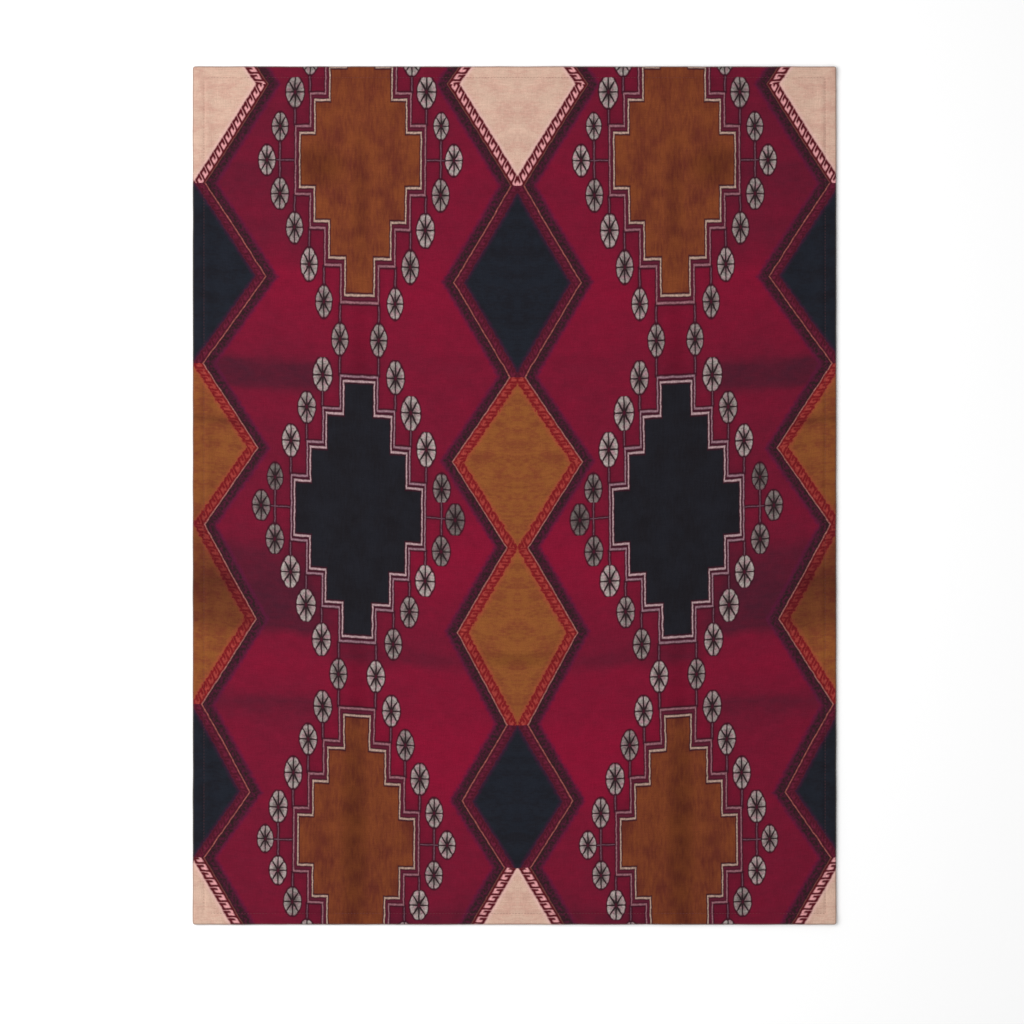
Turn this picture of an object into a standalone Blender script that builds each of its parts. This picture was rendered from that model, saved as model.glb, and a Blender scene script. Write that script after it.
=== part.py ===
"""A fleece throw blanket, spread out flat with its printed face up.

It is one rectangle of cloth. Every side is turned under once and held by a row of
stitching, so the rim is two layers thick and a corner is more.
Metres, +Z up. The origin is on the floor under the middle of the cloth, X runs
across the blanket and Y runs along it, towards the top of the print.
"""

import math

import bmesh
import bpy

INCH = 0.0254

# The finished size and the cloth
WIDTH = 30 * INCH
LENGTH = 40 * INCH
CLOTH = 0.0020  # one layer of fleece, pile and all
HEM = 0.0135  # from the fold at the rim to the stitching
LIP = 0.0025  # how far the cut edge reaches past the stitching

# The hem's section
HEM_HEIGHT = 2 * CLOTH  # two layers, one on the other
STITCH_DIP = 0.0011  # how deep the thread pulls the face down
FLAP_HEIGHT = CLOTH  # the turned-under layer, lying on the floor
FOLD_RADIUS = 0.0020  # how far in the fold reaches its full height
SETTLE = 0.0120  # how far past the flap the cloth takes to come down to the floor
CUT = 0.0001  # the lean of the flap's cut edge
BEND_IN = 0.35  # how far in the fold's bends are, as a share of its radius
LOW_BEND, LOW_RIM, HIGH_RIM, HIGH_BEND = 0.12, 0.35, 0.65, 0.88  # the fold's heights, as shares of the hem's
DIP_FROM = 0.75  # where the face begins to dip to the stitching, as a share of the hem
OVER_CUT = 0.90  # the face's height over the flap's cut edge, as a share of the hem's
HALFWAY_DOWN = 0.35  # how much of the flap's height is left halfway along SETTLE

# The outline
CORNER_RADIUS = 0.0030
INNER_RADIUS = 0.0008  # a corner's least radius on the lines inside the hem
CORNER_STEPS = 4
CORNER_BULK = 0.0010  # how far the extra layers lift a corner
BULK_FULL = 0.6 * HEM  # how far in from a side that lift is whole
BULK_FADE = 0.8 * HEM  # and how much further it takes to fade out
NEAR_CORNER = (0.009, 0.018, 0.030)  # where a side has points near its corners, from the corner
ACROSS_STEPS = 12  # steps between those along the top and the bottom
ALONG_STEPS = 16  # and along the left and the right

# The finish
FLEECE_RED = (0.19, 0.012, 0.030, 1.0)  # the printed fleece as a whole
FLEECE_ROUGHNESS = 0.92
SHARP_FROM = math.radians(40)


def hem_section():
    """(inset, height) of each line round the cloth: the underside, the fold at the rim, the face."""
    flap_edge = HEM + LIP
    landed = flap_edge + SETTLE
    halfway = flap_edge + SETTLE / 2
    bend = BEND_IN * FOLD_RADIUS
    underside = [
        (landed, 0.0),
        (halfway, HALFWAY_DOWN * FLAP_HEIGHT),
        (flap_edge + CUT, FLAP_HEIGHT),
        (flap_edge, 0.0),
        (FOLD_RADIUS, 0.0),
        (bend, LOW_BEND * HEM_HEIGHT),
    ]
    fold = [
        (0.0, LOW_RIM * HEM_HEIGHT),
        (0.0, HIGH_RIM * HEM_HEIGHT),
    ]
    face = [
        (bend, HIGH_BEND * HEM_HEIGHT),
        (FOLD_RADIUS, HEM_HEIGHT),
        (DIP_FROM * HEM, HEM_HEIGHT),
        (HEM, HEM_HEIGHT - STITCH_DIP),
        (flap_edge, OVER_CUT * HEM_HEIGHT),
        (halfway, CLOTH + HALFWAY_DOWN * FLAP_HEIGHT),
        (landed, CLOTH),
    ]
    return underside + fold + face


def side_points(start, end, steps):
    """Points along one straight side, without its ends, closer together near the corners."""
    length = math.dist(start, end)
    middle = length - 2 * NEAR_CORNER[-1]
    along = list(NEAR_CORNER)
    along += [NEAR_CORNER[-1] + middle * i / steps for i in range(1, steps)]
    along += [length - near for near in reversed(NEAR_CORNER)]
    return [
        (start[0] + (end[0] - start[0]) * a / length, start[1] + (end[1] - start[1]) * a / length)
        for a in along
    ]


def outline(inset):
    """The blanket's rounded outline, drawn in by inset, anticlockwise from its top right corner."""
    radius = max(CORNER_RADIUS - inset, INNER_RADIUS)
    centre_x = WIDTH / 2 - inset - radius
    centre_y = LENGTH / 2 - inset - radius
    corners = []
    for turn, (sign_x, sign_y) in enumerate([(1, 1), (-1, 1), (-1, -1), (1, -1)]):
        arc = []
        for step in range(CORNER_STEPS + 1):
            angle = math.radians(90) * (turn + step / CORNER_STEPS)
            x = sign_x * centre_x + radius * math.cos(angle)
            y = sign_y * centre_y + radius * math.sin(angle)
            arc.append((x, y))
        corners.append(arc)
    points = []
    for side, arc in enumerate(corners):
        following = corners[(side + 1) % 4]
        steps = ACROSS_STEPS if side % 2 == 0 else ALONG_STEPS
        points += arc + side_points(arc[-1], following[0], steps)
    return points


def corner_lift(x, y, height):
    """How much higher the face is at a corner, where two hems lie over each other."""
    if height <= HEM_HEIGHT / 2:
        return 0.0
    lift = CORNER_BULK * height / HEM_HEIGHT
    for from_edge in (WIDTH / 2 - abs(x), LENGTH / 2 - abs(y)):
        past = (from_edge - BULK_FULL) / BULK_FADE
        past = min(max(past, 0.0), 1.0)
        lift *= 1 - past * past * (3 - 2 * past)
    return lift


def ring(mesh, inset, height):
    """One closed line of the cloth, as edges of the mesh."""
    corners = [mesh.verts.new((x, y, height + corner_lift(x, y, height))) for x, y in outline(inset)]
    return [mesh.edges.new(pair) for pair in zip(corners, corners[1:] + corners[:1])]


def fleece():
    """The colour of the printed fleece as a whole, dull and soft."""
    material = bpy.data.materials.new("printed_fleece")
    material.use_nodes = True
    shader = material.node_tree.nodes["Principled BSDF"]
    shader.inputs["Base Color"].default_value = FLEECE_RED
    shader.inputs["Roughness"].default_value = FLEECE_ROUGHNESS
    shader.inputs["Metallic"].default_value = 0.0
    return material


def blanket():
    """The sheet with its turned hem, as one closed solid."""
    mesh = bmesh.new()
    rings = [ring(mesh, inset, height) for inset, height in hem_section()]
    for inner, outer in zip(rings, rings[1:]):
        bmesh.ops.bridge_loops(mesh, edges=inner + outer)
    for end in (rings[0], rings[-1]):
        bmesh.ops.contextual_create(mesh, geom=end)
    bmesh.ops.recalc_face_normals(mesh, faces=mesh.faces)
    data = bpy.data.meshes.new("blanket")
    mesh.to_mesh(data)
    mesh.free()
    data.materials.append(fleece())
    data.shade_smooth()
    data.set_sharp_from_angle(angle=SHARP_FROM)
    sheet = bpy.data.objects.new("blanket", data)
    bpy.context.scene.collection.objects.link(sheet)
    return sheet


for leftover in list(bpy.data.objects):
    bpy.data.objects.remove(leftover)
blanket()
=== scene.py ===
"""The looks of a fleece throw blanket, printed with an old rug's medallions and lozenges.

The blanket lies flat with its print up. Metres, +Z up, X across the print and Y along
it, towards its top. The print itself is laid out in millimetres of cloth.
"""

import math
from collections import namedtuple

import bmesh
import bpy
from mathutils import Matrix, Vector, noise


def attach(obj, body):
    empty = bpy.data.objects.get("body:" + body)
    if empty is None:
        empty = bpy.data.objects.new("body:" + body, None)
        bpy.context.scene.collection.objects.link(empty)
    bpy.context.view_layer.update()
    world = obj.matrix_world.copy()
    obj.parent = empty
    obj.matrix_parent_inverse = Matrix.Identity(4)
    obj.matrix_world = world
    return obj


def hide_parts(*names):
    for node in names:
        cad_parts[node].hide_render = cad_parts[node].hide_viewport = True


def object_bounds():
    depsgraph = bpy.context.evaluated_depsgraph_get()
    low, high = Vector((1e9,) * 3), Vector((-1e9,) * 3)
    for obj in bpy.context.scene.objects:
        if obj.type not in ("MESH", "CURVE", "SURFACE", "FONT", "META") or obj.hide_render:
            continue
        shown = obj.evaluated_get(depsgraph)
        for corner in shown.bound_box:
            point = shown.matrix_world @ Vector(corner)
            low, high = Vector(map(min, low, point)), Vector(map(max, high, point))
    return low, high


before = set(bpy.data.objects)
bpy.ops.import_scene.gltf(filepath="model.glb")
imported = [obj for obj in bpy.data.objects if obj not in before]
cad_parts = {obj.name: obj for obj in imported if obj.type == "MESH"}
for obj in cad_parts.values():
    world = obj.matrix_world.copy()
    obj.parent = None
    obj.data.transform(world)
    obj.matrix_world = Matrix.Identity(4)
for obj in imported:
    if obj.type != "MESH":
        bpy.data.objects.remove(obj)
cad_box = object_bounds()

# The stage: a pale floor, a soft sky and one large soft lamp on the left, with the camera
# straight above. The photograph stretches the blanket's length a little, so its frame is
# matched halfway between the width and the length that it shows.

FRAME_WIDTH = 1.2125  # what the picture's 1024 pixels span on the floor
LENS = 135.0
SENSOR = 36.0
LOOKS_AT = (-0.0030, -0.0195)  # the point of the floor at the picture's middle

camera_data = bpy.data.cameras.new("camera")
camera_data.lens = LENS
camera_data.sensor_width = SENSOR
camera = bpy.data.objects.new("camera", camera_data)
camera.location = (*LOOKS_AT, FRAME_WIDTH * LENS / SENSOR)
bpy.context.scene.collection.objects.link(camera)
bpy.context.scene.camera = camera
bpy.context.scene.view_settings.view_transform = "Standard"

FLOOR_SIZE = 30.0
FLOOR_DROP = 0.0004  # keeps the floor clear of the cloth's underside
FLOOR_COLOUR = (0.985, 0.985, 0.985, 1.0)
FLOOR_ROUGHNESS = 0.9
SKY_STRENGTH = 0.63
LAMP_PLACE = (-1.3, 0.2, 1.9)
LAMP_SIZE = 1.8
LAMP_POWER = 42

lamp_data = bpy.data.lights.new("window_side_lamp", "AREA")
lamp_data.size = LAMP_SIZE
lamp_data.energy = LAMP_POWER
lamp = bpy.data.objects.new("window_side_lamp", lamp_data)
lamp.location = LAMP_PLACE
lamp.rotation_euler = Vector(LAMP_PLACE).to_track_quat("Z", "Y").to_euler()  # facing the blanket
bpy.context.scene.collection.objects.link(lamp)

sky = bpy.data.worlds.new("soft_studio")
sky.use_nodes = True
sky_light = sky.node_tree.nodes["Background"]
sky_light.inputs["Color"].default_value = (1.0, 1.0, 1.0, 1.0)
sky_light.inputs["Strength"].default_value = SKY_STRENGTH
bpy.context.scene.world = sky

floor_mesh = bmesh.new()
bmesh.ops.create_grid(floor_mesh, x_segments=1, y_segments=1, size=FLOOR_SIZE / 2)
bmesh.ops.translate(floor_mesh, verts=floor_mesh.verts, vec=(0, 0, -FLOOR_DROP))
floor_data = bpy.data.meshes.new("floor")
floor_mesh.to_mesh(floor_data)
floor_mesh.free()
floor = bpy.data.objects.new("floor", floor_data)
bpy.context.scene.collection.objects.link(floor)
floor_paint = bpy.data.materials.new("pale_floor")
floor_paint.use_nodes = True
floor_shader = floor_paint.node_tree.nodes["Principled BSDF"]
floor_shader.inputs["Base Color"].default_value = FLOOR_COLOUR
floor_shader.inputs["Roughness"].default_value = FLOOR_ROUGHNESS
floor_data.materials.append(floor_paint)

# The cloth: one rectangle of soft polyester fleece, printed on its face and plain on its
# back. Each side is turned under once round a soft fold and stitched down, with the
# bulk at the corners cut away on the slant.

WIDTH = cad_box[1][0] - cad_box[0][0]
LENGTH = cad_box[1][1] - cad_box[0][1]
CLOTH = 0.0020  # one layer
HEM = 0.0135  # from the rim to the stitching
LIP = 0.0025  # from the stitching to the cut edge
FOLD = 0.0020  # the fold's outer radius
PINCH = 0.0010  # how far the stitching pulls the face down
PINCH_WIDTH = 0.0014  # how far to either side of the stitching that pull fades
SETTLE = 0.0120  # how far past the cut edge the cloth takes to reach the floor
HEM_LAYER = 0.0019  # one layer inside the hem
PINCHED_LAYER = 0.0014  # one layer under the stitching
MITRE = 0.060  # how far from a corner the flap's slanted end draws its lines in
CORNER_RADIUS = 0.0030
CORNER_BULK = 0.0009  # how far the extra layers lift a corner
BULK_FULL = 0.6 * HEM  # how far in from a side that lift is whole
BULK_FADE = 0.8 * HEM  # and how much further it takes to fade out

FOLD_LENGTH = math.pi * FOLD

# The mesh's lines: how far in they are on the face and on the flap, then in between
FACE_LINES = (0.0020, 0.0040, 0.0070, 0.0100, 0.0122, 0.0135, 0.0148, 0.0170, 0.0200, 0.0240, 0.0280)
FLAP_LINES = (0.0020, 0.0050, 0.0085, 0.0118, 0.0135, 0.0148, 0.0160)
FOLD_STEPS = 6
MIDDLE_STEP = 0.0057

Pucker = namedtuple("Pucker", "height size seed")
PUCKERS = (Pucker(0.00022, 0.010, 3.1), Pucker(0.00030, 0.026, 7.7))  # along the sewn rim
SWELL = 0.00025  # how far the middle stands up off the floor
SMALL_SWELL, LARGE_SWELL = 0.075, 0.21  # how far apart its high places are
SWELL_OVER = 0.060  # how far past the hem it takes to be whole
SWAY = 0.00035  # how far the rim strays from straight
SWAY_SIZE = 0.034
SWAY_FADE = 0.02
SWAY_IN = 0.4  # how much more it strays in than out
SIDES_APART = 0.3  # makes facing sides stray differently


def eased(value):
    """From 0 to 1, slow at both ends, as value goes from 0 to 1."""
    value = min(max(value, 0.0), 1.0)
    return value * value * (3 - 2 * value)


def section(run):
    """(inset, height, layer) of the printed side, run along the cloth from the middle of the fold.

    run is above 0 on the face and below 0 on the flap.
    """
    half = FOLD_LENGTH / 2
    if abs(run) <= half:
        angle = run / FOLD
        return FOLD * (1 - math.cos(angle)), FOLD * (1 + math.sin(angle)), HEM_LAYER
    inset = abs(run) - half + FOLD
    pinch = math.exp(-(((inset - HEM) / PINCH_WIDTH) ** 2))
    layer = HEM_LAYER - (HEM_LAYER - PINCHED_LAYER) * pinch
    if run < 0:
        return inset, 0.0, layer
    cut = HEM + LIP
    down = eased((inset - cut) / SETTLE)
    height = 2 * CLOTH - PINCH * pinch - CLOTH * down
    layer += (CLOTH - HEM_LAYER) * down
    return inset, height, layer


def runs(half_side):
    """The lines of the mesh across one half of the cloth, as runs from the fold's middle."""
    half = FOLD_LENGTH / 2
    flap = [-(inset - FOLD + half) for inset in FLAP_LINES]
    fold = [half * (2 * step / FOLD_STEPS - 1) for step in range(1, FOLD_STEPS)]
    face = [inset - FOLD + half for inset in FACE_LINES]
    last = FACE_LINES[-1]
    count = math.ceil((half_side - last) / MIDDLE_STEP)
    face += [last + (half_side - last) * step / count - FOLD + half for step in range(1, count + 1)]
    return sorted(flap + fold) + face


def ripple(x, y, size, seed):
    """Soft unevenness from -1 to 1, with bumps about size apart."""
    return noise.noise(Vector((x / size, y / size, seed)))


def corner_lift(inset_x, inset_y):
    """How far the folded corner lifts the face."""
    lift = CORNER_BULK
    for inset in (inset_x, inset_y):
        lift *= 1 - eased((inset - BULK_FULL) / BULK_FADE)
    return lift


def place(run_x, run_y, side_x, side_y):
    """Where a point of the printed side lies, and how thick the cloth is there."""
    inset_x, inset_y = section(run_x)[0], section(run_y)[0]
    height, layer = section(min(run_x, run_y))[1:]
    if run_x < 0 and inset_y < MITRE:
        inset_y = inset_x + inset_y * (1 - inset_x / MITRE)
    if run_y < 0 and inset_x < MITRE:
        inset_x = inset_y + inset_x * (1 - inset_y / MITRE)
    near_x, near_y = CORNER_RADIUS - inset_x, CORNER_RADIUS - inset_y
    if near_x > 0 and near_y > 0:
        turn = max(near_x, near_y) / math.hypot(near_x, near_y)
        inset_x = CORNER_RADIUS - near_x * turn
        inset_y = CORNER_RADIUS - near_y * turn
    x = side_x * (WIDTH / 2 - inset_x)
    y = side_y * (LENGTH / 2 - inset_y)
    inset = min(inset_x, inset_y)
    if run_x > 0 and run_y > 0:
        face = min(height / (2 * CLOTH), 1.0)
        height += corner_lift(inset_x, inset_y) * face
        hem = min(inset / HEM, 1.0) * min(max((HEM + LIP + SETTLE - inset) / SETTLE, 0.0), 1.0)
        for pucker in PUCKERS:
            height += pucker.height * hem * ripple(x, y, pucker.size, pucker.seed)
        swell = SWELL * min(max((inset - HEM) / SWELL_OVER, 0.0), 1.0)
        height += swell * (1 + ripple(x, y, SMALL_SWELL, 1.3)) * (1 + ripple(x, y, LARGE_SWELL, 5.9))
    sway = SWAY * math.exp(-inset / SWAY_FADE)
    x += sway * side_x * (ripple(y, SIDES_APART * side_x, SWAY_SIZE, 2.0) - SWAY_IN)
    y += sway * side_y * (ripple(x, SIDES_APART * side_y, SWAY_SIZE, 4.0) - SWAY_IN)
    return Vector((x, y, height)), layer


TOUCHING = 0.00002  # corners of the mesh that are closer than this are one

across_runs, along_runs = runs(WIDTH / 2), runs(LENGTH / 2)
columns, rows = 2 * (len(across_runs) - 1), 2 * (len(along_runs) - 1)
cloth = bmesh.new()
bmesh.ops.create_grid(cloth, x_segments=columns, y_segments=rows, size=0.5)
print_map = cloth.loops.layers.uv.new("cloth")
thickness = cloth.verts.layers.float.new("layer")
spread = {}
for corner in cloth.verts:
    column, row = round((corner.co.x + 0.5) * columns), round((corner.co.y + 0.5) * rows)
    side_x, side_y = (1 if column > columns / 2 else -1), (1 if row > rows / 2 else -1)
    run_x = across_runs[min(column, columns - column)]
    run_y = along_runs[min(row, rows - row)]
    spread[corner] = (run_x, run_y, side_x, side_y)
trimmed = [
    face for face in cloth.faces
    if max(spread[corner][0] for corner in face.verts) <= 0
    and max(spread[corner][1] for corner in face.verts) <= 0
]
bmesh.ops.delete(cloth, geom=trimmed, context="FACES")
for face in cloth.faces:
    for loop in face.loops:
        run_x, run_y, side_x, side_y = spread[loop.vert]
        flat_x = side_x * (WIDTH / 2 - FOLD + FOLD_LENGTH / 2 - run_x)
        flat_y = side_y * (LENGTH / 2 - FOLD + FOLD_LENGTH / 2 - run_y)
        loop[print_map].uv = (flat_x, flat_y)
for corner in cloth.verts:
    corner.co, corner[thickness] = place(*spread[corner])
bmesh.ops.remove_doubles(cloth, verts=cloth.verts, dist=TOUCHING)
bmesh.ops.recalc_face_normals(cloth, faces=cloth.faces)
cloth.normal_update()
highest = max(cloth.faces, key=lambda face: face.calc_center_median().z)
if highest.normal.z < 0:
    bmesh.ops.reverse_faces(cloth, faces=cloth.faces)
    cloth.normal_update()

# The plain back is the printed side again, one layer further in, joined along the cut edge.

PRINTED, PLAIN = 0, 1
face_rim = [edge for edge in cloth.edges if edge.is_boundary]
back = bmesh.ops.duplicate(cloth, geom=cloth.verts[:] + cloth.edges[:] + cloth.faces[:])
back_corners = [part for part in back["geom"] if isinstance(part, bmesh.types.BMVert)]
back_faces = [part for part in back["geom"] if isinstance(part, bmesh.types.BMFace)]
for corner in back_corners:
    corner.co -= corner.normal * corner[thickness]
bmesh.ops.reverse_faces(cloth, faces=back_faces)
for face in back_faces:
    face.material_index = PLAIN
back_rim = [back["edge_map"][edge] for edge in face_rim]
cut_edge = bmesh.ops.bridge_loops(cloth, edges=face_rim + back_rim)
for face in cut_edge["faces"]:
    face.material_index = PLAIN
for face in cloth.faces:
    face.smooth = True

# The map that the print is baked through: the printed side nearly fills it, with the back
# squeezed into a strip beside it and the four cut edges in narrow strips between the two.

MAP_SPAN = 1.06  # the length of cloth that the map holds
PRINT_LEFT, MAP_FOOT = 0.40, 0.53
BACK_MIDDLE, BACK_SQUEEZE = 0.88, 0.25
STRIPS_LEFT, STRIP_STEP = 0.758, 0.005
bake_map = cloth.loops.layers.uv.new("OFBake")
print_map = cloth.loops.layers.uv["cloth"]
for face in cloth.faces:
    for loop in face.loops:
        across, along = loop[print_map].uv
        if face.material_index == PRINTED:
            loop[bake_map].uv = ((across + PRINT_LEFT) / MAP_SPAN, (along + MAP_FOOT) / MAP_SPAN)
        else:
            loop[bake_map].uv = (BACK_MIDDLE + BACK_SQUEEZE * across, (along + MAP_FOOT) / MAP_SPAN)
for face in cut_edge["faces"]:
    middle = face.calc_center_median()
    on_side = abs(middle.x) / WIDTH > abs(middle.y) / LENGTH
    strip = 2 * on_side + ((middle.x if on_side else middle.y) > 0)
    for loop in face.loops:
        place_along = loop.vert.co.y if on_side else loop.vert.co.x
        left = STRIPS_LEFT + STRIP_STEP * strip
        loop[bake_map].uv = (left + loop.vert.co.z, (place_along + MAP_FOOT) / MAP_SPAN)
cloth_data = bpy.data.meshes.new("cloth")
cloth.to_mesh(cloth_data)
cloth.free()
blanket_cloth = bpy.data.objects.new("fleece_cloth", cloth_data)
bpy.context.scene.collection.objects.link(blanket_cloth)

# The print is worked out from the place on the cloth, by shader nodes. These write the nodes
# as sums, and lay one colour on another.

Edge = namedtuple("Edge", "at soft share", defaults=(1.0,))


class Amount:
    """A number that changes over the cloth: one output of a shader node, with arithmetic."""

    def __init__(self, socket):
        self.socket = socket
        self.tree = socket.id_data

    def work(self, operation, *others):
        """This amount and others through a Math node."""
        node = self.tree.nodes.new("ShaderNodeMath")
        node.operation = operation
        for entry, value in zip(node.inputs, (self, *others)):
            join(value, entry)
        return Amount(node.outputs["Value"])

    def __add__(self, other):
        return self.work("ADD", other)

    __radd__ = __add__

    def __sub__(self, other):
        return self.work("SUBTRACT", other)

    def __rsub__(self, other):
        return self.work("MULTIPLY_ADD", -1.0, other)

    def __mul__(self, other):
        return self.work("MULTIPLY", other)

    def __truediv__(self, other):
        return self.work("DIVIDE", other)

    def __abs__(self):
        return self.work("ABSOLUTE")

    def __pow__(self, other):
        return self.work("POWER", other)

    def least(self, other):
        return self.work("MINIMUM", other)

    def most(self, other):
        return self.work("MAXIMUM", other)

    def whole(self):
        return self.work("FLOOR")

    def nearest(self):
        return self.work("ROUND")

    def fold(self, span):
        """Up and down again between 0 and span, as a mirrored repeat."""
        return self.work("PINGPONG", span)

    def past(self, edge):
        """1 beyond edge and 0 before it."""
        return self.work("GREATER_THAN", edge)

    def under(self, edge, soft):
        """1 below edge and 0 above it, blurred over soft."""
        node = self.tree.nodes.new("ShaderNodeMapRange")
        node.interpolation_type = "SMOOTHSTEP"
        for name, value in (
            ("Value", self), ("From Min", edge - soft / 2), ("From Max", edge + soft / 2),
            ("To Min", 1.0), ("To Max", 0.0),
        ):
            join(value, node.inputs[name])
        return Amount(node.outputs["Result"])

    def within(self, edge):
        """The edge's share below where it is, and 0 above, blurred over its soft."""
        return self.under(edge.at, edge.soft) * edge.share


def join(value, entry):
    """Sets a socket to a number or a colour, or links an amount or a socket to it."""
    if isinstance(value, Amount):
        value = value.socket
    if isinstance(value, bpy.types.NodeSocket):
        entry.id_data.links.new(value, entry)
    elif isinstance(value, tuple):
        entry.default_value = value[:len(entry.default_value)]
    else:
        entry.default_value = value


STUDIO_LIGHT = 1.1  # how brightly the middle of the blanket is lit


def ink(red, green, blue):
    """A shader's colour that shows in the studio light as these 0 to 255 screen values.

    The numbers are those of the sRGB curve.
    """
    shares = [value / 255 for value in (red, green, blue)]
    shown = [((s + 0.055) / 1.055) ** 2.4 if s > 0.04 else s / 12.92 for s in shares]
    return (*[share / STUDIO_LIGHT for share in shown], 1.0)


def paint(under, over, share):
    """The colour over laid on the colour under, by share."""
    node = share.tree.nodes.new("ShaderNodeMix")
    node.data_type = "RGBA"
    join(share, node.inputs["Factor"])
    join(under, node.inputs["A"])
    join(over, node.inputs["B"])
    return node.outputs["Result"]


def dim(colour, factor):
    """A colour made darker or lighter by a factor."""
    node = factor.tree.nodes.new("ShaderNodeVectorMath")
    node.operation = "SCALE"
    join(colour, node.inputs["Vector"])
    join(factor, node.inputs["Scale"])
    return node.outputs["Vector"]


RAMP_MOST = 100  # a ramp holds numbers from 0 to 1, so lengths go into it as shares of this


def ramp(amount, stops, interpolation):
    """Colours, or up to three numbers, along an amount from 0 to 1. Each stop is (place, values)."""
    node = amount.tree.nodes.new("ShaderNodeValToRGB")
    node.color_ramp.interpolation = interpolation
    marks = node.color_ramp.elements
    while len(marks) < len(stops):
        marks.new(0.5)
    for mark, (place, values) in zip(marks, stops):
        mark.position = place
        mark.color = (*values, 0.0, 0.0, 1.0)[:4]
    join(amount, node.inputs["Fac"])
    return node.outputs["Color"]


def pick(amount, choices):
    """The choice whose number amount is, from 0: colours, or up to three numbers each."""
    stops = [(number / len(choices), choice) for number, choice in enumerate(choices)]
    return ramp((amount + 0.5) / len(choices), stops, "CONSTANT")


def channels(colour):
    """The three numbers that a ramp's colour carries."""
    node = colour.id_data.nodes.new("ShaderNodeSeparateColor")
    join(colour, node.inputs["Color"])
    return [Amount(output) for output in node.outputs]


def follow(amount, points):
    """A graph of straight lines through points, carried on past both ends."""
    slopes = [(y1 - y0) / (x1 - x0) for (x0, y0), (x1, y1) in zip(points, points[1:])]
    graph = (amount - points[0][0]) * slopes[0] + points[0][1]
    for (bend, height), before, after in zip(points[1:], slopes, slopes[1:]):
        graph = graph + (amount.most(bend) - bend) * (after - before)
    return graph


Mottle = namedtuple("Mottle", "size amount stretch detail seed")  # the size is in millimetres
NOISE_REACH = 3.6  # brings the noise's own narrow spread to about -1 to 1


def uneven(across, down, mottle):
    """Uneven dye or thread from about -amount to amount, in patches of the mottle's size.

    They are longer across by its stretch, and have finer patches in them by its detail.
    """
    tree = across.tree
    where = tree.nodes.new("ShaderNodeCombineXYZ")
    join(across / (mottle.size * mottle.stretch), where.inputs["X"])
    join(down / mottle.size, where.inputs["Y"])
    where.inputs["Z"].default_value = mottle.seed
    cloud = tree.nodes.new("ShaderNodeTexNoise")
    cloud.inputs["Scale"].default_value = 1.0
    cloud.inputs["Detail"].default_value = mottle.detail
    join(where.outputs["Vector"], cloud.inputs["Vector"])
    return (Amount(cloud.outputs["Fac"]) - 0.5) * NOISE_REACH * mottle.amount


def group(name, takes, gives):
    """A new node group, with its inputs and outputs by name."""
    tree = bpy.data.node_groups.new(name, "ShaderNodeTree")
    for socket, kind in takes.items():
        tree.interface.new_socket(socket, in_out="INPUT", socket_type="NodeSocket" + kind)
    for socket, kind in gives.items():
        tree.interface.new_socket(socket, in_out="OUTPUT", socket_type="NodeSocket" + kind)
    entry = tree.nodes.new("NodeGroupInput")
    leave = tree.nodes.new("NodeGroupOutput")
    return tree, entry.outputs, leave.inputs


def use(tree, made, given):
    """Places a group in a tree, with what is given to its inputs."""
    node = tree.nodes.new("ShaderNodeGroup")
    node.node_tree = made
    for name, value in given.items():
        join(value, node.inputs[name])
    return node.outputs


# The print's layout. The woven rug that the print follows was pulled out of square, so one side
# of each medallion hangs lower, and its width is printed mirrored about four lines.

SEAM = 3.5  # the middle mirror line, right of the cloth's middle
TILE = 383.0  # from one mirror line to the next
SPINE = 185.2  # from the middle mirror line to the medallions' axis, at the top
SPINE_LEAN = 0.0063
DOWN_SPAN = 1016  # the blanket's length in millimetres, which the curve and the ramps run over
PULLS = (
    (0, 0.0), (75, 0.0), (115, 0.005), (150, 0.011), (195, 0.025), (330, 0.040), (555, 0.077),
    (610, 0.068), (790, 0.066), (850, 0.045), (915, 0.037), (1016, 0.026),
)  # (how far down, how steeply the rows slope)
PULL_MOST = 0.1
MM = 1000  # millimetres in a metre
WAVER_ACROSS, WAVER_DOWN = Mottle(9.0, 0.55, 1.0, 2.0, 11.0), Mottle(9.0, 0.55, 1.0, 2.0, 23.0)
PLACES = {"Across": "Float", "Down": "Float"}

layout, given, result = group("rug_layout", {"Cloth": "Vector"}, {**PLACES, "From spine": "Float"})
parts = layout.nodes.new("ShaderNodeSeparateXYZ")
join(given["Cloth"], parts.inputs["Vector"])
plain_across = (Amount(parts.outputs["X"]) * MM - SEAM).fold(TILE)
plain_down = Amount(parts.outputs["Y"]) * -MM + LENGTH / 2 * MM
across = plain_across + uneven(plain_across, plain_down, WAVER_ACROSS)
down = plain_down + uneven(plain_across, plain_down, WAVER_DOWN)
pull_curve = layout.nodes.new("ShaderNodeFloatCurve")
curve = pull_curve.mapping.curves[0]
while len(curve.points) < len(PULLS):
    curve.points.new(0.5, 0.5)
for point, (place_down, pull) in zip(curve.points, PULLS):
    point.location = (place_down / DOWN_SPAN, pull / PULL_MOST)
pull_curve.mapping.update()
join(down / DOWN_SPAN, pull_curve.inputs["Value"])
from_spine = across - down * SPINE_LEAN - SPINE
pull = Amount(pull_curve.outputs["Value"]) * PULL_MOST
join(across, result["Across"])
join(down + from_spine * pull, result["Down"])
join(from_spine, result["From spine"])

# The crimson ground: a madder red whose dye lots change in bands down the rug, differently on
# either side of the medallions.

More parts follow.
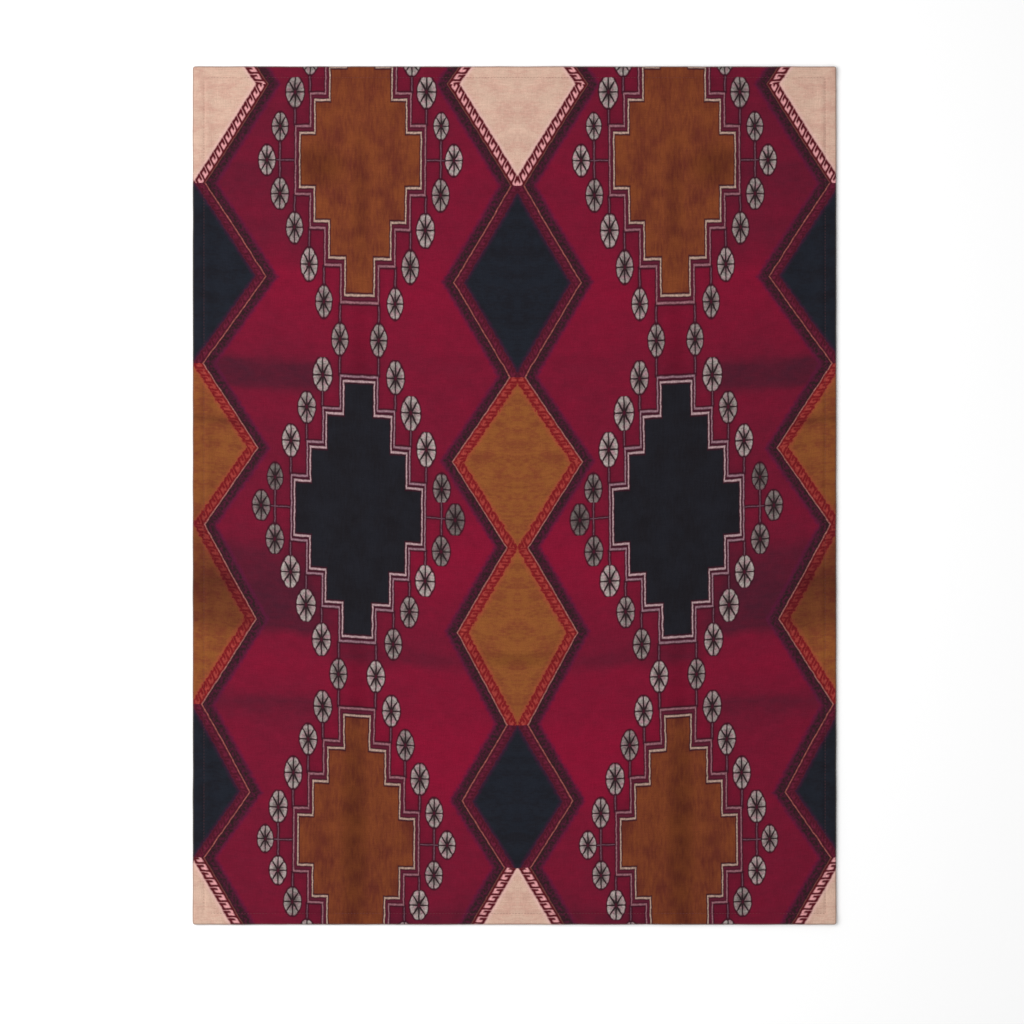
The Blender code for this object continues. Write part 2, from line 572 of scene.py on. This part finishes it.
Band = namedtuple("Band", "down middle_red side_red side_ochre")
BANDS = (
    Band(0, 0.52, 0.47, 1.0), Band(76, 0.53, 0.41, 1.0), Band(108, 0.61, 0.47, 1.0),
    Band(122, 0.62, 0.34, 1.0), Band(150, 0.62, 0.42, 1.0), Band(215, 0.62, 0.46, 1.0),
    Band(245, 0.77, 0.75, 1.0), Band(292, 0.73, 0.69, 1.0), Band(346, 0.60, 0.48, 1.0),
    Band(358, 0.60, 0.13, 1.0), Band(378, 0.59, 0.14, 1.0), Band(392, 0.59, 0.50, 1.0),
    Band(420, 0.58, 0.54, 0.9), Band(428, 0.57, 0.52, 0.55), Band(440, 0.56, 0.50, 0.9),
    Band(490, 0.50, 0.42, 0.9), Band(535, 0.72, 0.56, 0.85), Band(566, 0.84, 0.46, 0.66),
    Band(592, 0.78, 0.22, 0.64), Band(620, 0.68, 0.12, 0.32), Band(640, 0.58, 0.11, 0.48),
    Band(670, 0.52, 0.12, 0.58), Band(684, 0.48, 0.62, 0.95), Band(699, 0.36, 0.66, 1.0),
    Band(714, 0.68, 0.66, 1.0), Band(742, 0.72, 0.60, 1.0), Band(758, 0.72, 0.28, 1.0),
    Band(790, 0.86, 0.56, 1.0), Band(856, 0.84, 0.58, 1.0), Band(884, 0.62, 0.52, 1.0),
    Band(984, 0.52, 0.55, 1.0), Band(1000, 0.34, 0.50, 1.0),
)  # the reds run from smoked at 0 to bright at 1, and side_ochre is how clean the side lozenges are
BRIGHT_CRIMSON = ink(136, 19, 48)
SMOKED_CRIMSON = ink(66, 28, 42)
MIDDLE_ENDS, MIDDLE_FADE = SPINE + 38, 66  # where the middle's dye gives way to the sides'
SIDE_LOZENGES, SIDE_FADE = 250, 20  # where the side lozenges' smoke begins
WISPS = Mottle(30.0, 7.0, 2.5, 3.0, 5.0)
DYE_CLOUDS, DYE_FLECKS = Mottle(26.0, 0.09, 1.5, 3.0, 2.0), Mottle(6.0, 0.06, 1.8, 3.0, 3.0)

ground, given, result = group("crimson_ground", PLACES, {"Color": "Color", "Ochre": "Float"})
across, down = Amount(given["Across"]), Amount(given["Down"])
bands = [(row.down / DOWN_SPAN, row[1:]) for row in BANDS]
wispy_down = down + uneven(across, down, WISPS)
middle_red, side_red, side_ochre = channels(ramp(wispy_down / DOWN_SPAN, bands, "LINEAR"))
tone = side_red + (middle_red - side_red) * across.under(MIDDLE_ENDS, MIDDLE_FADE)
tone = tone + uneven(across, down, DYE_CLOUDS) + uneven(across, down, DYE_FLECKS)
join(paint(SMOKED_CRIMSON, BRIGHT_CRIMSON, tone), result["Color"])
join(side_ochre + (1 - side_ochre) * across.under(SIDE_LOZENGES, SIDE_FADE), result["Ochre"])

# Worn and smoked places, which darken the ground and the fields alike.

Smudge = namedtuple("Smudge", "across down half_wide half_tall depth")
SMUDGES = (
    Smudge(187, 335, 17, 62, 0.20),
    Smudge(189, 722, 15, 62, 0.20),
    Smudge(234, 118, 38, 30, 0.28),
    Smudge(186, 165, 13, 110, 0.14),
    Smudge(193, 905, 19, 165, 0.28),
    Smudge(191, 905, 90, 190, 0.10),
    Smudge(0, 690, 70, 12, 0.18),
)
WEAR = Mottle(14.0, 0.07, 1.4, 4.0, 31.0)

wear, given, result = group("smoked_places", PLACES, {"Light": "Float"})
across, down = Amount(given["Across"]), Amount(given["Down"])
light = 1 + uneven(across, down, WEAR)
for smudge in SMUDGES:
    aside = (across - smudge.across) / smudge.half_wide
    along = (down - smudge.down) / smudge.half_tall
    dark = (1 - (aside * aside + along * along)).most(0)
    light = light - dark * smudge.depth
join(light, result["Light"])

# The lozenges: a chain of them on each mirror line, between two zigzag cords. The cords are
# backed by a smoky band outside, and each lozenge has a border of running hooks inside.

Inks = namedtuple("Inks", "fill streak base hook halo cord")
CREAM = Inks(
    fill=ink(209, 175, 156), streak=ink(200, 158, 142), base=ink(222, 156, 158),
    hook=ink(84, 22, 30), halo=ink(220, 178, 170), cord=ink(104, 60, 56),
)
NAVY = Inks(
    fill=ink(32, 35, 43), streak=ink(30, 30, 36), base=ink(98, 30, 50),
    hook=ink(76, 24, 38), halo=ink(62, 26, 50), cord=ink(150, 84, 78),
)
OCHRE = Inks(
    fill=ink(138, 81, 42), streak=ink(123, 63, 40), base=ink(154, 60, 54),
    hook=ink(118, 28, 32), halo=ink(150, 74, 48), cord=ink(152, 98, 92),
)
Lozenge = namedtuple(
    "Lozenge", "widest middle_half side_half neck middle_neck side_neck border ragged inks"
)  # border: how deep the hooks' border is, ragged: how unevenly it ends
LOZENGES = (
    Lozenge(21.0, 83.0, 87.8, 139.7, 7.6, 13.3, 12.2, 0.0, CREAM),
    Lozenge(252.2, 75.3, 85.1, 359.5, 9.0, 10.7, 9.6, 0.9, NAVY),
    Lozenge(459.8, 77.0, 75.6, 556.5, 12.5, 12.6, 11.0, 1.6, OCHRE),
    Lozenge(662.0, 71.0, 73.6, 767.5, 12.3, 9.4, 11.0, 1.6, OCHRE),
    Lozenge(864.4, 65.4, 66.5, 942.7, 15.6, 12.1, 9.6, 0.9, NAVY),
    Lozenge(1052.0, 78.0, 78.6, 1170.0, 8.0, 12.6, 12.2, 0.0, CREAM),
)
FIRST_NECK = -90.0  # how far down the neck before the first one is
SLANT_ACROSS, SLANT_DOWN = 0.533, 0.846  # the zigzags' direction, which is much the same all along
HOOK_PITCH = 10.3
HOOK_LEAN = 0.62
HOOK_PHASE = 0.14
HOOK_TURN = 0.75  # the share of a pitch that a hook reaches back over
HOOK_ROUND = 2.3  # how rounded the hooks' bends are
Bar = namedtuple("Bar", "low_run high_run low_depth high_depth")
ARM, HEAD, BARB = Bar(-0.9, 1.9, -2.0, 9.2), Bar(-7.3, 1.9, 6.4, 9.2), Bar(-7.3, -4.2, 2.4, 9.2)
BORDER_STARTS = 2.8
PATTERN_DEPTH = 9.4  # the depth that the hooks are drawn for, from where their border starts
RAGGED_END = Mottle(4.0, 1.0, 1.0, 1.0, 46.0)
FILL_THREADS, FILL_CLOUDS = Mottle(2.6, 0.8, 2.5, 3.0, 40.0), Mottle(16.0, 1.2, 1.6, 3.0, 41.0)
FILL_STREAKS = Edge(0.15, 1.8)
HALO = Edge(3.0, 5.0, 0.7)  # the blurred rim round the fill, past the border
BORDER_EDGE, HOOK_EDGE, LOZENGE_EDGE = Edge(0.0, 3.6), Edge(0.1, 2.0), Edge(0.0, 1.0)
SPECKLE, BASE_SPECKLED, HOOK_SPECKLED = Mottle(2.2, 1.0, 1.0, 1.0, 42.0), 0.2, 0.25
DARK_LINE = Edge(2.2, 2.0, 0.7)  # outside the cord
SMOKY_BAND, PURPLE_BAND = Edge(11.3, 4.4), Edge(13.2, 4.4, 0.5)
BROWN_BAND, BROWN_SPECKS = Edge(9.4, 4.0), Edge(0.1, 1.3)
SPECKS, FRINGE = Mottle(3.2, 1.0, 1.0, 2.0, 43.0), Mottle(3.8, 1.5, 1.0, 2.0, 44.0)
CORD, CORD_STRENGTH, CORD_FRAY = Edge(0.65, 1.1), 0.85, Mottle(3.0, 0.25, 1.0, 1.0, 45.0)
DARK_EDGE, SMOKY_BROWN, SMOKED_OCHRE = ink(50, 26, 30), ink(45, 29, 31), ink(54, 16, 24)
SMOKY_WINE, PURPLE_EDGE = ink(80, 27, 49), ink(92, 22, 58)

chain, given, result = group(
    "lozenge_chain", {**PLACES, "Under": "Color", "Ochre": "Float"}, {"Color": "Color"}
)
across, down = Amount(given["Across"]), Amount(given["Down"])
turns = [(FIRST_NECK, -1)]
for number, lozenge in enumerate(LOZENGES):
    turns += [(lozenge.widest, 2 * number), (lozenge.neck, 2 * number + 1)]
step = follow(down, turns)
number = ((step + 1) / 2).whole().most(0).least(len(LOZENGES) - 1)
neck_number = (step / 2).whole().most(0).least(len(LOZENGES) - 1)
at_side = across.past(TILE / 2)


def half_width(which, middle, side):
    """A half-width from the table, for the middle chain or the side one."""
    choices = [(m / RAMP_MOST, s / RAMP_MOST) for m, s in zip(middle, side)]
    in_middle, in_side = channels(pick(which, choices))[:2]
    return (in_middle + (in_side - in_middle) * at_side) * RAMP_MOST


wide = half_width(number, [row.middle_half for row in LOZENGES], [row.side_half for row in LOZENGES])
neck = half_width(neck_number, [row.middle_neck for row in LOZENGES], [row.side_neck for row in LOZENGES])
half = wide + (neck - wide) * step.fold(1)
outside = (across.fold(TILE / 2) - half) * SLANT_DOWN
inside = outside * -1
narrowing = 1 - step.whole().work("FLOORED_MODULO", 2.0) * 2
along = (down + narrowing * inside * SLANT_ACROSS) / SLANT_DOWN
hook_run = along / HOOK_PITCH + inside * (HOOK_LEAN / HOOK_PITCH) + HOOK_TURN + HOOK_PHASE
hook_run = (hook_run - hook_run.whole() - HOOK_TURN) * HOOK_PITCH
borders = [(row.border / RAMP_MOST, row.ragged / RAMP_MOST) for row in LOZENGES]
border, ragged = [value * RAMP_MOST for value in channels(pick(number, borders))[:2]]
depth = inside + uneven(across, down, RAGGED_END) * ragged
hook_depth = (depth - BORDER_STARTS) / (border - BORDER_STARTS) * PATTERN_DEPTH


def outside_bar(bar):
    """How far a point is outside one bar of the hooks; below 0 inside it."""
    sideways = abs(hook_run - (bar.low_run + bar.high_run) / 2) - (bar.high_run - bar.low_run) / 2
    inwards = abs(hook_depth - (bar.low_depth + bar.high_depth) / 2) - (bar.high_depth - bar.low_depth) / 2
    return sideways.work("SMOOTH_MAX", inwards, HOOK_ROUND)


hook = outside_bar(ARM)
for part in (outside_bar(HEAD), outside_bar(BARB), hook_depth):
    hook = hook.work("SMOOTH_MIN", part, HOOK_ROUND)

inks = {
    name: pick(number, [row.inks._asdict()[name][:3] for row in LOZENGES]) for name in Inks._fields
}
streaks = uneven(across, down, FILL_THREADS) + uneven(across, down, FILL_CLOUDS)
fill = paint(inks["fill"], inks["streak"], 1 - streaks.within(FILL_STREAKS))
fill = paint(fill, inks["halo"], (depth - border).within(HALO))
speckle = uneven(across, down, SPECKLE)
fill = paint(fill, dim(inks["base"], 1 + speckle * BASE_SPECKLED), (depth - border).within(BORDER_EDGE))
fill = paint(fill, dim(inks["hook"], 1 + speckle * HOOK_SPECKLED), hook.within(HOOK_EDGE))
fill = paint(fill, SMOKED_OCHRE, 1 - Amount(given["Ochre"]))

fringe = outside + uneven(across, down, FRINGE)
brown = uneven(across, down, SPECKS).within(BROWN_SPECKS) * fringe.within(BROWN_BAND)
colour = paint(given["Under"], PURPLE_EDGE, fringe.within(PURPLE_BAND))
colour = paint(colour, paint(SMOKY_WINE, SMOKY_BROWN, brown), fringe.within(SMOKY_BAND))
colour = paint(colour, DARK_EDGE, outside.within(DARK_LINE))
colour = paint(colour, fill, outside.within(LOZENGE_EDGE))
frayed = uneven(across, down, CORD_FRAY)
cord = abs(outside).within(CORD) * (CORD_STRENGTH + frayed)
colour = paint(colour, dim(inks["cord"], 1 + frayed), cord)
join(colour, result["Color"])

# The medallions: three stepped crosses down each spine, each within two pale lines. Every
# step sends a stem on past its corner to a rosette, and all of it keeps to one count of rows.

ROWS_DOWN = (
    (0, -6.5), (2, 70.7), (5, 192.2), (9, 367.5), (10, 406.5), (12, 489.5), (14, 566.0), (16, 641.5),
    (21, 839.6), (22, 880.5), (23, 918.3), (26, 1027.0),
)  # (row, how far down the cloth it is)
FIRST_ARMS = 3  # the row of the first medallion's arms
ROWS_TO_TIP = 5  # from a medallion's arms to the rosettes that it shares with the next
ROW = 39.9
TIPS = ((3, 23.3), (13, 22.6), (18, 22.2), (20, 21.0), (23, 21.0))  # (row, spine to innermost stems)
COLUMNS_OUT = ((0, 0.0), (1, 1.08), (4, 4.05), (5, 4.92))  # (rows from the tip, columns from the tip's)
STEPS_OUT = (0.0, 1.08, 2.07, 3.06)
Medallion = namedtuple("Medallion", "column gap black")  # gap: between the two lines
MEDALLIONS = (Medallion(17.75, 4.9, 0.0), Medallion(18.75, 3.6, 1.0), Medallion(17.6, 5.1, 0.0))
SQUASH = 0.62  # the lines are further apart along the cloth than across
BELOW_ARMS, SHARPLY = 0.5, 0.0001  # the first half of each period, which has no blur at its end
LINE_INSET = 0.9  # how far the outer line keeps inside the stems' columns
Rosette = namedtuple("Rosette", "slip size light")  # slip: how far it hangs below its row
ROSETTES_BY_ROW = {
    0: Rosette(0.0, 0.95, 1.0), 1: Rosette(-2.0, 1.0, 1.0), 2: Rosette(0.0, 0.89, 1.0),
    3: Rosette(0.0, 0.93, 1.0), 4: Rosette(0.0, 0.95, 1.0), 9: Rosette(0.0, 1.02, 1.0),
    12: Rosette(4.0, 0.92, 0.55), 13: Rosette(0.5, 0.98, 0.52), 14: Rosette(1.0, 1.0, 0.64),
    15: Rosette(0.0, 1.02, 1.0), 19: Rosette(0.0, 0.99, 1.0), 23: Rosette(0.0, 0.95, 1.0),
    24: Rosette(0.0, 0.99, 1.0),
}  # each holds until the next row that is named
ROSETTE_WIDE, ROSETTE_TALL = 10.9, 19.6
POINTED = 1.8
SIZE_LEAST, SIZE_VARIES = 0.94, 0.14
LIGHT_LEAST, LIGHT_VARIES = 0.68, 0.36
SLANTED = 8.0  # how fast the distance from a slanted spoke grows
SHORT_FROM, SHORT_FADE = 0.8, 4.0  # past this share of the reach the slanted spokes fade out
SPOKE_TAPER = 0.45
NOTCH = Edge(1.5, 1.4, 0.055)  # how far the petals' ends draw in at a spoke
PETAL_EDGE, PETAL_SHADING, ROSETTE_SHADE = Edge(0.94, 0.12), Edge(0.55, 0.7), Edge(1.07, 0.16, 0.9)
SPOKE_HALF, SPOKE_END, HEART_EDGE = Edge(1.12, 1.0), Edge(0.92, 0.2), Edge(0.13, 0.12)
PINK_PATCHES, PINK_EDGE = Mottle(5.0, 1.0, 1.0, 2.0, 53.0), Edge(0.3, 1.4)
LINE_HALF = 0.72
THREAD = Mottle(2.4, 0.38, 1.0, 1.0, 50.0)
SMOKE, STEM_SHADE, STEM_LINE = Edge(7.0, 14.0, 0.24), Edge(2.2, 1.9, 0.85), Edge(0.5, 1.1, 0.8)
CROSS_SHADE, CROSS_EDGE, OUTER_SHADE = Edge(1.9, 1.8, 0.8), Edge(0.0, 1.0), Edge(1.9, 1.4, 0.6)
OUTER_LINE, INNER_LINE = Edge(LINE_HALF, 1.1, 0.9), Edge(LINE_HALF, 1.1)
INNER_SHADE = Edge(1.7, 1.2, 0.9)
FIELD_SHADE, FIELD_EDGE = Edge(-LINE_HALF, 1.1), Edge(-LINE_HALF - 1.2, 1.5)
FIELD_STREAKS, FIELD_CLOUDS = Mottle(14.0, 0.5, 0.2, 2.0, 51.0), Mottle(34.0, 0.75, 0.8, 1.0, 52.0)
STREAK_EDGE = Edge(0.1, 1.8)
RUST_FILL, RUST_STREAK = ink(125, 65, 37), ink(98, 44, 34)
BLACK_FILL, BLACK_STREAK = ink(32, 32, 38), ink(29, 27, 31)
RUST_INNER_LINE, RUST_OUTER_LINE, RUST_GAP = ink(174, 146, 132), ink(146, 101, 109), ink(92, 31, 48)
BLACK_INNER_LINE, BLACK_OUTER_LINE, BLACK_GAP = ink(174, 144, 147), ink(147, 113, 123), ink(72, 26, 41)
DARK_MAROON, STEM = ink(56, 20, 32), ink(113, 83, 95)
PETAL_HEART, PETAL_TIP = ink(88, 77, 75), ink(164, 154, 149)
PETAL_PINK, SPOKE, ROSETTE_HEART = ink(166, 126, 134), ink(42, 30, 33), ink(70, 25, 39)

medallions, given, result = group(
    "medallion_chain", {**PLACES, "From spine": "Float", "Under": "Color"}, {"Color": "Color"}
)
across, down = Amount(given["Across"]), Amount(given["Down"])
from_spine = Amount(given["From spine"])
aside = abs(from_spine)
row_count = follow(down, [(place, row) for row, place in ROWS_DOWN])
tip_column = follow(row_count, TIPS)
medallion = ((row_count + ROWS_TO_TIP - FIRST_ARMS) / (2 * ROWS_TO_TIP)).whole()
sizes = [(row.column / RAMP_MOST, row.gap / RAMP_MOST, row.black) for row in MEDALLIONS]
column, gap, black = channels(pick(medallion, sizes))
column, gap = column * RAMP_MOST, gap * RAMP_MOST


def rows_from_arms(count):
    """How many rows a row is from the arms of its medallion."""
    return (count - FIRST_ARMS).fold(ROWS_TO_TIP)


def column_at(count):
    """How far from the spine the rosette or stem of a row is."""
    return follow(ROWS_TO_TIP - rows_from_arms(count), COLUMNS_OUT) * column + tip_column


rise = rows_from_arms(row_count)
cross = None
for level, out in enumerate(STEPS_OUT):
    past_top = (rise - (len(STEPS_OUT) - level)) * (ROW * SQUASH)
    box = (aside - column * out - tip_column + LINE_INSET).most(past_top)
    cross = box if cross is None else cross.least(box)

thread = 1 + uneven(across, down, THREAD)
periods = (row_count - FIRST_ARMS) / (2 * ROWS_TO_TIP)
lower_half = periods.work("FRACT").under(BELOW_ARMS, SHARPLY)
stem_away = abs(aside - column_at(row_count.whole() + lower_half))
arm_stem = (rise * ROW).most(aside - column_at(row_count.nearest()))
stem_away = stem_away.least(arm_stem)
colour = paint(given["Under"], DARK_MAROON, stem_away.least(cross).within(SMOKE))
colour = paint(colour, DARK_MAROON, stem_away.within(STEM_SHADE))
colour = paint(colour, dim(STEM, thread), stem_away.within(STEM_LINE))

colour = paint(colour, DARK_MAROON, cross.within(CROSS_SHADE))
colour = paint(colour, paint(RUST_GAP, BLACK_GAP, black), cross.within(CROSS_EDGE))
colour = paint(colour, DARK_MAROON, abs(cross).within(OUTER_SHADE))
outer_line = paint(RUST_OUTER_LINE, BLACK_OUTER_LINE, black)
colour = paint(colour, dim(outer_line, thread), abs(cross).within(OUTER_LINE))
fill_line = cross + gap
inner_line = paint(RUST_INNER_LINE, BLACK_INNER_LINE, black)
colour = paint(colour, DARK_MAROON, fill_line.within(INNER_SHADE))
colour = paint(colour, dim(inner_line, thread), fill_line.within(INNER_LINE))
colour = paint(colour, DARK_MAROON, fill_line.within(FIELD_SHADE))
streaks = uneven(across, down, FIELD_STREAKS) + uneven(across, down, FIELD_CLOUDS)
streaked = 1 - streaks.within(STREAK_EDGE)
rust, soot = paint(RUST_FILL, RUST_STREAK, streaked), paint(BLACK_FILL, BLACK_STREAK, streaked)
colour = paint(colour, paint(rust, soot, black), fill_line.within(FIELD_EDGE))

own_row = row_count.nearest()
last_row = ROWS_DOWN[-1][0]
looks = [
    (max(row - 0.5, 0) / last_row, (own.slip / RAMP_MOST + 0.5, own.size / 2, own.light / 2))
    for row, own in ROSETTES_BY_ROW.items()
]
slip, half_size, half_light = channels(ramp(own_row / last_row, looks, "CONSTANT"))
which = medallions.nodes.new("ShaderNodeCombineXYZ")
join(own_row, which.inputs["X"])
join(from_spine.past(0), which.inputs["Y"])
chance = medallions.nodes.new("ShaderNodeTexWhiteNoise")
chance.noise_dimensions = "2D"
join(which.outputs["Vector"], chance.inputs["Vector"])
grown, aged = channels(chance.outputs["Color"])[:2]
size = (grown * SIZE_VARIES + SIZE_LEAST) * half_size * 2
petal_x = abs(aside - column_at(own_row)) / size
petal_y = abs((row_count - own_row) * ROW - (slip - 0.5) * RAMP_MOST) / size
wide_share, tall_share = petal_x / ROSETTE_WIDE, petal_y / ROSETTE_TALL
reach = (wide_share ** POINTED + tall_share ** POINTED) ** (1 / POINTED)
slanted = abs(wide_share - tall_share) * SLANTED
spoke = petal_x.least(petal_y).least(slanted)
short_spoke = petal_x.least(petal_y).least(slanted + (reach - SHORT_FROM).most(0) * SHORT_FADE)
colour = paint(colour, DARK_MAROON, reach.within(ROSETTE_SHADE))
petals = paint(PETAL_HEART, PETAL_TIP, 1 - reach.within(PETAL_SHADING))
petals = paint(petals, PETAL_PINK, 1 - uneven(across, down, PINK_PATCHES).within(PINK_EDGE))
petals = dim(petals, (aged * LIGHT_VARIES + LIGHT_LEAST) * thread * half_light * 2)
colour = paint(colour, petals, (reach + spoke.within(NOTCH)).within(PETAL_EDGE))
spokes = (short_spoke + reach * SPOKE_TAPER).within(SPOKE_HALF) * reach.within(SPOKE_END)
colour = paint(colour, SPOKE, spokes)
colour = paint(colour, ROSETTE_HEART, reach.within(HEART_EDGE))
join(colour, result["Color"])

# The weave of the rug, which shows in the print as faint lines across and along.

WEFT, WARP = Mottle(1.5, 0.07, 8.0, 1.0, 60.0), Mottle(12.0, 0.055, 0.12, 1.0, 61.0)
KNOTS = Mottle(1.4, 0.08, 1.0, 1.0, 62.0)

weave, given, result = group("printed_weave", PLACES, {"Light": "Float"})
across, down = Amount(given["Across"]), Amount(given["Down"])
light = 1 + uneven(across, down, WEFT) + uneven(across, down, WARP) + uneven(across, down, KNOTS)
join(light, result["Light"])

# The printed side: the layers of the print, then the short brushed pile that it is printed on.

printed = bpy.data.materials.new("printed_fleece")
printed.use_nodes = True
tree = printed.node_tree
shader = tree.nodes["Principled BSDF"]
on_cloth = tree.nodes.new("ShaderNodeUVMap")
on_cloth.uv_map = "cloth"
laid_out = use(tree, layout, {"Cloth": on_cloth.outputs["UV"]})
places = {"Across": laid_out["Across"], "Down": laid_out["Down"]}
red = use(tree, ground, places)
colour = use(tree, chain, {**places, "Under": red["Color"], "Ochre": red["Ochre"]})["Color"]
colour = use(tree, medallions, {**places, "From spine": laid_out["From spine"], "Under": colour})["Color"]
light = Amount(use(tree, wear, places)["Light"]) * Amount(use(tree, weave, places)["Light"])
colour = dim(colour, light)

# Round the fold at the rim the print is dulled to grey: painted shade, where the fold's curve turns away
# from the light.

FOLD_SHADE = Edge(0.0024, 0.0016, 0.5)  # how far from the fold's middle the painted shade reaches, along the cloth
FOLD_SHADE_GREY = ink(112, 104, 98)
parts = tree.nodes.new("ShaderNodeSeparateXYZ")
join(on_cloth.outputs["UV"], parts.inputs["Vector"])
fold_x, fold_y = (side / 2 - FOLD + FOLD_LENGTH / 2 for side in (WIDTH, LENGTH))
to_fold = (fold_x - abs(Amount(parts.outputs["X"]))).least(fold_y - abs(Amount(parts.outputs["Y"])))
# the fold's painted shade, laid over the print along the rim
colour = paint(colour, FOLD_SHADE_GREY, abs(to_fold).within(FOLD_SHADE))
join(colour, shader.inputs["Base Color"])

TUFTS = Mottle(1.3, 1.0, 1.0, 1.0, 70.0)
PILE_UNEVEN = 0.00012
PILE_ROUGHNESS = 0.95
PILE_SHEEN = 0.04
PLAIN_COLOUR = ink(240, 235, 226)


def fleece_pile(tree, shader, across, down):
    """The matt, slightly uneven surface of the brushed pile."""
    shader.inputs["Roughness"].default_value = PILE_ROUGHNESS
    shader.inputs["Specular IOR Level"].default_value = PILE_SHEEN
    bump = tree.nodes.new("ShaderNodeBump")
    bump.inputs["Distance"].default_value = PILE_UNEVEN
    join(uneven(across, down, TUFTS), bump.inputs["Height"])
    join(bump.outputs["Normal"], shader.inputs["Normal"])


fleece_pile(tree, shader, Amount(laid_out["Across"]), Amount(laid_out["Down"]))

plain = bpy.data.materials.new("plain_fleece_back")
plain.use_nodes = True
tree = plain.node_tree
shader = tree.nodes["Principled BSDF"]
shader.inputs["Base Color"].default_value = PLAIN_COLOUR
on_cloth = tree.nodes.new("ShaderNodeUVMap")
on_cloth.uv_map = "cloth"
laid_out = use(tree, layout, {"Cloth": on_cloth.outputs["UV"]})
fleece_pile(tree, shader, Amount(laid_out["Across"]), Amount(laid_out["Down"]))

cloth_data.materials.append(printed)
cloth_data.materials.append(plain)
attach(blanket_cloth, "root")
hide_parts("blanket")

# The hem's stitching: one row of lockstitch in polyester thread round all four sides, pulled
# down into the pile on the face and lying in it underneath.

STITCH = 0.0030
STITCH_STEP = 0.0036
THREAD_WIDE, THREAD_TALL = 0.00017, 0.00015
THREAD_COLOUR = ink(108, 52, 58)
THREAD_ROUGHNESS = 0.6
THREAD_PROUD = 0.00008  # how far the thread's middle is above the face that it pulls down
FACE_THREAD_HEIGHT = 2 * CLOTH - PINCH + THREAD_PROUD
UNDER_THREAD_HEIGHT = 0.0001

stitches = bmesh.new()
for length, from_middle, turns in ((WIDTH, LENGTH / 2 - HEM, (0, 2)), (LENGTH, WIDTH / 2 - HEM, (1, 3))):
    length -= 2 * HEM
    count = round(length / STITCH_STEP)
    step = length / count
    stitch = bmesh.new()
    long_and_thin = Matrix.Diagonal((STITCH / 2, THREAD_WIDE, THREAD_TALL, 1.0))
    first = Matrix.Translation(((step - length) / 2, from_middle, 0)) @ long_and_thin
    bmesh.ops.create_uvsphere(stitch, u_segments=6, v_segments=5, radius=1.0, matrix=first)
    stitch_mesh = bpy.data.meshes.new("one_stitch")
    stitch.to_mesh(stitch_mesh)
    stitch.free()
    carrier = bpy.data.objects.new("one_stitch", stitch_mesh)
    bpy.context.scene.collection.objects.link(carrier)
    row = carrier.modifiers.new("row", "ARRAY")
    row.count = count
    row.use_relative_offset = False
    row.use_constant_offset = True
    row.constant_offset_displace = (step, 0, 0)
    carrier = carrier.evaluated_get(bpy.context.evaluated_depsgraph_get())
    stitch_row = bpy.data.meshes.new_from_object(carrier)
    bpy.data.objects.remove(carrier.original)
    for turn in turns:
        for height in (FACE_THREAD_HEIGHT, UNDER_THREAD_HEIGHT):
            move = Matrix.Translation((0, 0, height)) @ Matrix.Rotation(turn * math.pi / 2, 4, "Z")
            stitch_row.transform(move)
            stitches.from_mesh(stitch_row)
            stitch_row.transform(move.inverted())
for face in stitches.faces:
    face.smooth = True
stitch_data = bpy.data.meshes.new("hem_stitching")
stitches.to_mesh(stitch_data)
stitches.free()
hem_stitching = bpy.data.objects.new("hem_stitching", stitch_data)
bpy.context.scene.collection.objects.link(hem_stitching)
thread_paint = bpy.data.materials.new("sewing_thread")
thread_paint.use_nodes = True
thread_shader = thread_paint.node_tree.nodes["Principled BSDF"]
thread_shader.inputs["Base Color"].default_value = THREAD_COLOUR
thread_shader.inputs["Roughness"].default_value = THREAD_ROUGHNESS
stitch_data.materials.append(thread_paint)
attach(hem_stitching, "root")
